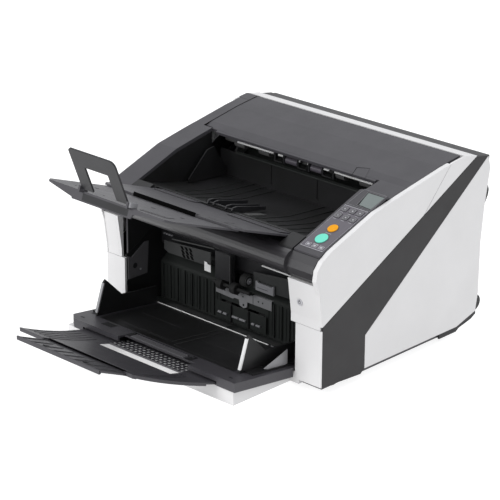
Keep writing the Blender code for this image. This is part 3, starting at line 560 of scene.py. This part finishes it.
def arc_sheet(name, xs, ys, keep, look, rides):
    """Curved sheet made of cells; keep says which cells are solid."""
    points, index, faces = [], {}, []

    def vertex(i, j, side):
        if (i, j, side) not in index:
            x, y = xs[i], ys[j]
            if x > LIP_RIGHT:
                x = LIP_RIGHT + (x - LIP_RIGHT) * (chamfer_x(y) - LIP_RIGHT) / (xs[-1] - LIP_RIGHT)
            index[(i, j, side)] = len(points)
            thin = within(x, THIN_X) and within(y, THIN_Y)
            points.append((x, y, z_arc(y) - (THIN_SHEET if thin else THICK_SHEET) * side))
        return index[(i, j, side)]

    solid = {(i, j) for i in range(len(xs) - 1) for j in range(len(ys) - 1)
             if keep(0.5 * (xs[i] + xs[i + 1]), 0.5 * (ys[j] + ys[j + 1]))}
    for i, j in solid:
        corners = [(i, j), (i + 1, j), (i + 1, j + 1), (i, j + 1)]
        for side in (0, 1):
            faces.append([vertex(a, b, side) for a, b in corners])
        beyond = [(i, j - 1), (i + 1, j), (i, j + 1), (i - 1, j)]
        for k, cell in enumerate(beyond):
            if cell not in solid:
                a, b = corners[k], corners[(k + 1) % 4]
                faces.append([vertex(*a, 0), vertex(*b, 0), vertex(*b, 1), vertex(*a, 1)])
    return mesh_piece(name, points, faces, look, rides)


def first_extension():
    """First hopper extension with its lattice, window and front step."""
    xs = [SHEET_X[0], -0.1200, LIP_LEFT, STEP_X[0], WINDOW_X[0]]
    holes_x = [(-0.0745 + CELL * k, -0.0683 + CELL * k) for k in range(17)]
    holes_y = [(-0.1355 + CELL * k, -0.1293 + CELL * k) for k in range(4)]
    for pair in holes_x:
        xs += pair
    xs += [STEP_X[1], LIP_RIGHT, 0.0980, 0.1100, 0.1225, SHEET_X[1]]
    ys = [-0.2570, STEP_Y, -0.2300, -0.2100, -0.1900, -0.1780, *WINDOW_Y]
    for pair in holes_y:
        ys += pair
    ys.append(-0.0950)

    def keep(x, y):
        in_hole = any(within(y, span) for span in holes_y) and any(within(x, span) for span in holes_x)
        in_window = within(x, WINDOW_X) and within(y, WINDOW_Y)
        in_step = within(x, STEP_X) and y < STEP_Y
        return not (in_hole or in_window or in_step)

    sheet = arc_sheet("ext_sheet", xs, ys, keep, "charcoal_plastic", "hopper_ext_1")
    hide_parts("hopper_ext_1")


def extension_lips():
    """Lips at the front and along the chamfer, and the edge of the front step."""
    for side, x0, x1 in (("left", SHEET_X[0], LIP_LEFT), ("right", LIP_RIGHT, 0.0990)):
        lip = [(y, z_arc(y) - drop) for y, drop in ((-0.2568, 0.0002), (-0.2568, 0.0066), (-0.2490, 0.0066),
                                                    (-0.2490, 0.0002))]
        along_x("ext_lip_" + side, lip, x0, x1, "charcoal_plastic", "hopper_ext_1", bevel=0.0004)
    rings = []
    for k in range(9):
        y = -0.2566 + 0.0145 * k
        x = chamfer_x(y)
        rings.append([(x + dx, y, z_arc(y) - drop) for dx, drop in ((-0.004, 0.0001), (0.0002, 0.0001),
                                                                    (0.0002, 0.0054), (-0.004, 0.0054))])
    loft("ext_lip_chamfer", rings, "charcoal_plastic", "hopper_ext_1")
    front = [(y, z_arc(y) + rise) for y, rise in ((-0.2460, -0.0030), (-0.2460, 0.0008), (-0.2440, 0.0008),
                                                  (-0.2440, -0.0030))]
    along_x("ext_step_edge", front, *STEP_X, "print_dark", "hopper_ext_1", bevel=0.0003)


def extension_ribs():
    """White fill under the lattice, painted light standing in for the lit floor seen through the holes, and
    the thin ribs left and right of the middle.
    """
    # The bright fill is painted light: it stands in for the lit floor seen through the lattice holes.
    ys = [-0.1370 + 0.0061 * k for k in range(7)]
    under = [(y, z_arc(y) - 0.0013) for y in ys] + [(y, z_arc(y) - 0.0027) for y in reversed(ys)]
    along_x("ext_painted_light_fill", under, -0.0762, 0.0802, "bright", "hopper_ext_1")
    for i in range(5):
        x = -0.1380 + 0.0110 * i
        arc_rib("ext_rib_%d" % i, x, -0.2440, -0.1500)
    for i in range(3):
        arc_rib("ext_rib_right_%d" % i, 0.0900 + 0.0045 * i, -0.2300, -0.1500)


def arc_rib(name, x, y0, y1):
    """Thin raised line along the first hopper extension."""
    ys = [y0 + (y1 - y0) * k / 6 for k in range(7)]
    outline = [(y, z_arc(y) - 0.0004) for y in ys] + [(y, z_arc(y) + 0.0007) for y in reversed(ys)]
    along_x(name, outline, x, x + 0.0008, "charcoal_plastic", "hopper_ext_1")


def second_extension():
    """Ribs, front rail and finger notches of the second hopper extension."""
    for i in range(8):
        x = -0.0850 + 0.0225 * i
        rib = [(-0.3050, 0.0978), (-0.2640, 0.0812), (-0.2640, 0.0822), (-0.3050, 0.0996)]
        along_x("ext2_rib_%d" % i, rib, x, x + 0.0008, "print_dark", "hopper_ext_2")
    rail = [(-0.3068, 0.0992), (-0.3068, 0.0935), (-0.3050, 0.0935), (-0.3044, 0.0992)]
    along_x("ext2_rail", rail, -0.0930, 0.0840, "charcoal_plastic", "hopper_ext_2", bevel=0.0005)
    # Black finger notches: painted shade in the recesses.
    for i, x in enumerate((-0.0500, 0.0350)):
        notch = [(-0.2940, 0.0938), (-0.2860, 0.0906), (-0.2860, 0.0912), (-0.2940, 0.0946)]
        along_x("ext2_notch_%d" % i, notch, x, x + 0.0060, "line", "hopper_ext_2")


# ---- stacker --------------------------------------------------------------
TRAY_LINE = ((0.0550, 0.2205), (0.0800, 0.2135), (0.1300, 0.2030), (0.2120, 0.1966))


def stacker_floor():
    """Ribs, lift arms and cover plates of the stacker."""
    for i, x in enumerate((-0.1300, -0.1080, -0.0860, -0.0640, 0.0420, 0.0640, 0.0860, 0.1080, 0.1300)):
        outline = [(y, z - 0.0005) for y, z in TRAY_LINE] + [(y, z + 0.0011) for y, z in reversed(TRAY_LINE)]
        along_x("tray_rib_%d" % i, outline, x, x + 0.0014, "gloom", "upper_unit")
    step = [(0.0560, 0.2195), (0.0560, 0.2216), (0.0940, 0.2118), (0.0940, 0.2100)]
    for i, (x0, x1) in enumerate(((-0.0600, -0.0480), (0.0160, 0.0300))):
        along_x("tray_step_%d" % i, step, x0, x1, "dusk", "upper_unit", bevel=0.0004)
    arm = [(0.0390, 0.2270), (0.0420, 0.2318), (0.0520, 0.2315), (0.1150, 0.2150), (0.1150, 0.2095),
           (0.0560, 0.2200)]
    for i, x in enumerate((-0.0450, -0.0330, -0.0070, 0.0060)):
        along_x("lift_arm_%d" % i, arm, x, x + 0.0030, "black_plastic", "upper_unit", bevel=0.0007)
    bar = [(0.0420, 0.2262), (0.0420, 0.2290), (0.0460, 0.2284), (0.0460, 0.2256)]
    along_x("lift_bar", bar, -0.0450, 0.0090, "black_plastic", "upper_unit", bevel=0.0008)
    left = [(-0.1400, -0.0290), (-0.0560, -0.0290), (-0.0560, 0.0000), (-0.0620, 0.0060), (-0.1400, 0.0060)]
    right = [(0.0160, -0.0290), (0.1320, -0.0290), (0.1320, 0.0110), (0.0240, 0.0110), (0.0160, 0.0030)]
    for side, outline in (("left", left), ("right", right)):
        on_tray("tray_cover_" + side, outline, 0.0004, 0.0018, "charcoal_plastic", "upper_unit", bevel=0.0004)


def extension_trim():
    """Slots, seams, plates and small holes on the stacker extensions, and the stopper's clip and base."""
    # Black slot and black gap at the front of the extension: painted shade, the gap standing in for the
    # shadow under the extension's front edge.
    on_tray("slide_slot", rect(-0.0658, 0.0578, 0.1062, 0.1148), -0.0029, -0.0020, "void", "stacker_ext_1")
    gap = rect(-0.0700, 0.0600, 0.1209, 0.1216)
    on_tray("slide_front_gap", gap, -0.0031, 0.0030, "void", "stacker_ext_1")
    on_tray("slide_seam", rect(0.0660, 0.1360, 0.0990, 0.0998), 0.0, 0.0002, "line", "stacker_ext_1")
    edge = rect(-0.0740, 0.0660, 0.1200, 0.1206)
    on_tray("slide_front_edge", edge, 0.0, 0.0006, "print_dark", "stacker_ext_1")
    pad = [(0.0700, 0.0745), (0.0980, 0.0745), (0.0980, 0.1000), (0.0760, 0.1060), (0.0700, 0.1000)]
    on_tray("slide_block", pad, 0.0, 0.0003, "charcoal_plastic", "stacker_ext_1")
    top = -0.0033
    # Black discs for the small holes: painted shade inside them.
    for i, x in enumerate((-0.0950, -0.0350, 0.0250, 0.0600, 0.0850)):
        hole = circle(x, 0.2180, 0.0016, 14)
        on_tray("slide_hole_%d" % i, hole, top, top + 0.0002, "line", "stacker_ext_2")
    plate = [(0.0520, 0.2070), (0.1000, 0.2070), (0.1000, 0.2260), (0.0560, 0.2340), (0.0520, 0.2300)]
    on_tray("finger_plate", plate, top, top + 0.0008, "charcoal_plastic", "stacker_ext_2", bevel=0.0004)
    # Black groove: painted shade in it.
    groove = [(0.0560, 0.2290), (0.0960, 0.2215), (0.0960, 0.2205), (0.0560, 0.2280)]
    on_tray("finger_groove", groove, top + 0.0008, top + 0.0010, "line", "stacker_ext_2")
    on_tray("stopper_clip", rect(0.0446, 0.0520, 0.2350, 0.2500), top, 0.0048, "ash", "stacker_ext_2",
            bevel=0.0010)
    # Black slot on the clip: painted shade inside it.
    on_tray("clip_slot", rect(0.0490, 0.0500, 0.2360, 0.2490), 0.0046, 0.0050, "line", "stacker_ext_2")
    on_tray("stopper_base", rect(-0.0520, 0.0440, 0.2420, 0.2434), -0.0170, top - 0.0010, "black_plastic",
            "stacker_ext_2", bevel=0.0004)


SHAFT_Y = 0.2150
SHAFT_Z = 0.2578


def exit_shafts():
    """Bright exit shaft seen in pieces between its dark roller holders, with the ledge and screw nearby."""
    # The shaft pieces are drawn white: painted highlight along a polished shaft.
    spans = ((-0.1480, -0.0690), (-0.0585, -0.0485), (-0.0165, -0.0125), (0.0040, 0.0080), (0.0345, 0.0485),
             (0.0600, 0.1375))
    for i, (x0, x1) in enumerate(spans):
        spindle("exit_shaft_%d" % i, SHAFT_Y, SHAFT_Z, [(x0, 0.0016), (x1, 0.0016)], "bright", "upper_unit",
                count=20)
    for i, (x0, x1) in enumerate(((-0.0670, -0.0440), (-0.0175, 0.0090), (0.0345, 0.0600))):
        for j, x in enumerate((x0, x1 - 0.0035)):
            cheek = [(0.2125, 0.2460), (0.2125, 0.2600), (0.2150, 0.2620), (0.2185, 0.2600), (0.2185, 0.2450)]
            along_x("shaft_cheek_%d_%d" % (i, j), cheek, x, x + 0.0035, "black_plastic", "upper_unit",
                    bevel=0.0005)
        hook = [(0.2100, 0.2470), (0.2100, 0.2490), (0.2160, 0.2500), (0.2160, 0.2480)]
        along_x("shaft_hook_%d" % i, hook, x0 + 0.0040, x1 - 0.0040, "wall", "upper_unit", bevel=0.0004)
    for i, (x0, x1) in enumerate(((-0.0430, -0.0185), (0.0100, 0.0335))):
        ends = [(x0, 0.0048), (x0 + 0.0008, 0.0056), (x1 - 0.0008, 0.0056), (x1, 0.0048)]
        spindle("shaft_roller_%d" % i, 0.2180, 0.2524, ends, "film", "upper_unit", count=28)
    ledge = [(0.2105, 0.2385), (0.2105, 0.2405), (0.2160, 0.2420), (0.2160, 0.2402)]
    along_x("rear_ledge", ledge, -0.1500, 0.1400, "gloom", "upper_unit", bevel=0.0004)
    # White screw head: painted glint on the screw.
    screw = circle(0.2000, 0.2350, 0.0022, 18)
    along_x("side_screw", screw, -0.1858, -0.1844, "bright", "upper_unit", bevel=0.0004)


# ---- operator panel -------------------------------------------------------
def panel_film():
    film = [(0.1745, 0.0115), (0.2180, 0.0115), (0.2190, 0.1105), (0.1738, 0.1105)]
    on_panel("panel_film", film, 0.0, 0.0003, "film", "upper_unit")
    ring("film_outline", film, shrunk(film, 0.0006), panel_point, 0.0002, 0.0005, "print", "upper_unit")
    window = [(0.1745, 0.1140), (0.2205, 0.1120), (0.2205, 0.1508), (0.1760, 0.1508)]
    ring("window_outline", window, shrunk(window, 0.0005), panel_point, 0.0, 0.0003, "ash", "upper_unit")
    bezel = [(0.1858, 0.1488), (0.2210, 0.1488), (0.2193, 0.1138), (0.1898, 0.1158)]
    ring("window_bezel", bezel, shrunk(bezel, 0.0016), panel_point, -0.0012, 0.0004, "print_dark",
         "upper_unit")


KEY_X = (0.1815, 0.1965, 0.2110)
KEY_Y = (0.1018, 0.0862)
PRINT = (0.0003, 0.0005)


def ellipse(cx, cy, rx, ry, count):
    turns = [2 * math.pi * k / count for k in range(count)]
    return [(cx + rx * math.cos(a), cy + ry * math.sin(a)) for a in turns]


def key_marks():
    """Ring, plain mark and dash for each key, the lamp row, and collars round the two buttons."""
    number = 0
    for y in KEY_Y:
        for x in KEY_X:
            number += 1
            key = "key_%d" % number
            outer = ellipse(x, y, 0.0052, 0.0046, 20)
            inner = shrunk(outer, 0.0006)
            ring("key_ring_%d" % number, outer, inner, panel_point, 0.00136, 0.0015, "ash", key)
            mark = ellipse(x, y, 0.0016, 0.0014, 3 + number % 4)
            on_panel("key_mark_%d" % number, mark, 0.0013, 0.0015, "print", key)
            dash = rect(x - 0.0035, x + 0.0020, y - 0.0074, y - 0.0068)
            on_panel("key_dash_%d" % number, dash, *PRINT, "print", "upper_unit")
    for i in range(3):
        x = 0.1805 + 0.0125 * i
        lamp = rect(x, x + 0.0085, 0.0150, 0.0215)
        ring("lamp_ring_%d" % i, lamp, shrunk(lamp, 0.0006), panel_point, *PRINT, "print", "upper_unit")
        on_panel("lamp_%d" % i, rect(x + 0.0020, x + 0.0062, 0.0165, 0.0198), *PRINT, "print", "upper_unit")
    for name, x, y, radius in (("stop", 0.1955, 0.0594, 0.0086), ("scan", 0.1956, 0.0348, 0.0105)):
        outer = circle(x, y, radius + 0.0007, 36)
        ring(name + "_collar", outer, circle(x, y, radius, 36), panel_point, 0.0002, 0.0006, "print_dark",
             "upper_unit")
        dash = rect(x - 0.0040, x + 0.0060, y - radius - 0.0030, y - radius - 0.0023)
        on_panel(name + "_dash", dash, *PRINT, "print", "upper_unit")


def front_point(x, z, w):
    """Point in front of the power button face by w."""
    return (x, -0.0042 - w, z)


def power_mark():
    """Generic power mark: a ring with a bar."""
    x, z = 0.1887, 0.1436
    outer = circle(x, z, 0.0026, 28)
    ring("power_ring", outer, circle(x, z, 0.0020, 28), front_point, 0.0, 0.0002, "line", "power_button")
    bar = rect(x - 0.0003, x + 0.0003, z + 0.0004, z + 0.0032)
    loft("power_bar", [[front_point(a, b, w) for a, b in bar] for w in (0.0, 0.0003)], "line", "power_button")


# ---- sides and rear -------------------------------------------------------
def frame_trim():
    """Hinge cap, seams and a near-black sheet on the inner face of the left frame, painted shade for the dim
    inside of the upper unit, and the left post face.
    """
    cap = [(0.3003, z_top(0.3003)), (0.3190, 0.2988), (0.3240, 0.2978), (0.3240, 0.2935), (0.3003, 0.2925)]
    along_x("hinge_cap", cap, -0.2296, -0.2043, "charcoal_plastic", "base", bevel=0.0006)
    ys = [0.1955, 0.2115, 0.2711, 0.3185]
    seam = [(y, z_top(y) + 0.0004) for y in ys] + [(y, z_top(y) - 0.0010) for y in reversed(ys)]
    along_x("seam_side", seam, -0.2045, -0.2034, "void", "upper_unit")
    z = z_top(0.1950)
    block("seam_cross", (-0.2045, 0.1944, z - 0.0010), (-0.1860, 0.1954, z + 0.0003), "void", "upper_unit")
    # Near-black sheet on the inner face of the left frame: painted shade.
    liner = [(0.0058, 0.1770), (0.0058, 0.1160), (0.1450, 0.1876), (0.1930, 0.1876)]
    liner += [(y, z_top(y) - 0.0062) for y in (0.1930, 0.1692, 0.1132, 0.0320)]
    liner += [(0.0320, 0.1770)]
    along_x("cheek_painted_shade", liner, -0.1855, -0.1851, "wall", "upper_unit")
    post = [(0.0044, 0.1076), (0.0003, 0.1076), (0.0003, 0.1210), (-0.0057, 0.1650), (-0.0077, 0.1784),
            (0.0044, 0.1784)]
    along_x("post_face", post, -0.2014, -0.1950, "white_plastic", "upper_unit")


def rear_fittings():
    grip = [(0.3800, 0.2330), (0.3870, 0.2350), (0.3945, 0.2310), (0.3968, 0.2240), (0.3950, 0.2150),
            (0.3860, 0.1990), (0.3790, 0.1900), (0.3755, 0.1905), (0.3765, 0.2050)]
    hook = along_x("grip_hook", grip, 0.1955, 0.2215, "black_plastic", "base", bevel=0.0020, segments=3)
    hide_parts("rear_grip")
    knob = [(0.3700 + 0.0185 * math.sin(a), 0.0385 - 0.0150 * math.cos(a)) for a in
            [math.pi * k / 10 for k in range(11)]]
    along_x("rear_knob", knob, 0.1960, 0.2200, "black_plastic", "base", bevel=0.0012)
    pan = [(0.2800, 0.0165), (0.3170, 0.0165), (0.3700, 0.0290), (0.3700, 0.0225), (0.3586, 0.0167),
           (0.3288, 0.0104), (0.3217, 0.0060), (0.2800, 0.0060)]
    for side, x0, x1 in (("left", -0.2255, -0.2225), ("right", 0.2225, 0.2255)):
        along_x("pan_rim_" + side, pan, x0, x1, "black_plastic", "base", bevel=0.0006)


# ---- camera, light, floor -------------------------------------------------
def studio():
    look_at = Vector((0.0, 0.0887 + SHIFT_Y, 0.1477))
    azimuth, elevation, roll = math.radians(43.6012), math.radians(21.4896), math.radians(0.2758)
    distance = 3.5074
    back = Vector((math.sin(azimuth) * math.cos(elevation), -math.cos(azimuth) * math.cos(elevation),
                   math.sin(elevation)))
    right = Vector((math.cos(azimuth), math.sin(azimuth), 0.0))
    up = back.cross(right)
    turn = Matrix.Rotation(roll, 3, back)
    basis = Matrix((turn @ right, turn @ up, back)).transposed()
    data = bpy.data.cameras.new("camera")
    data.lens = 163.64
    data.sensor_width = 36.0
    camera = bpy.data.objects.new("camera", data)
    bpy.context.collection.objects.link(camera)
    camera.matrix_world = Matrix.Translation(look_at + back * distance) @ basis.to_4x4()
    bpy.context.scene.camera = camera


def softbox(name, place, target, size, power):
    data = bpy.data.lights.new(name, "AREA")
    data.shape = "RECTANGLE"
    data.size, data.size_y = size
    data.energy = power
    lamp = bpy.data.objects.new(name, data)
    bpy.context.collection.objects.link(lamp)
    lamp.location = place
    aim = Vector(target) - Vector(place)
    lamp.rotation_mode = "QUATERNION"
    lamp.rotation_quaternion = aim.to_track_quat("-Z", "Y")


def lighting():
    scene = bpy.context.scene
    scene.view_settings.view_transform = "Standard"
    world = bpy.data.worlds.new("studio")
    scene.world = world
    world.use_nodes = True
    world.node_tree.nodes["Background"].inputs["Color"].default_value = (0.97, 0.98, 1.0, 1.0)
    world.node_tree.nodes["Background"].inputs["Strength"].default_value = 1.0
    centre = (0.0, 0.0, 0.12)
    softbox("key", (-0.6, -2.2, 1.5), centre, (1.4, 1.0), 34)
    softbox("top", (0.0, 0.6, 2.2), centre, (1.6, 1.0), 8)


def floor():
    mat = Nodes("floor_look")
    mat.link(mat.ramp(mat.noise(1.5), ((0.3, (0.34, 0.34, 0.34)), (0.7, (0.36, 0.36, 0.36)))),
             mat.shader.inputs["Base Color"])
    mat.set(Roughness=0.9, Emission_Color=(1.0, 1.0, 1.0, 1.0), Emission_Strength=0.85)
    mesh = bpy.data.meshes.new("floor")
    mesh.from_pydata([(-6, -6, 0), (6, -6, 0), (6, 6, 0), (-6, 6, 0)], [], [(0, 1, 2, 3)])
    mesh.materials.append(mat.mat)
    plane = bpy.data.objects.new("floor", mesh)
    bpy.context.collection.objects.link(plane)


studio()
lighting()
floor()
dress_nodes()
vent_panel()
bay_fittings()
pick_plate()
bay_floor()
side_bracket()
hopper_bed()
guide_strips()
first_extension()
extension_lips()
extension_ribs()
second_extension()
stacker_floor()
extension_trim()
exit_shafts()
panel_film()
key_marks()
power_mark()
frame_trim()
hopper_cheek()
rear_fittings()
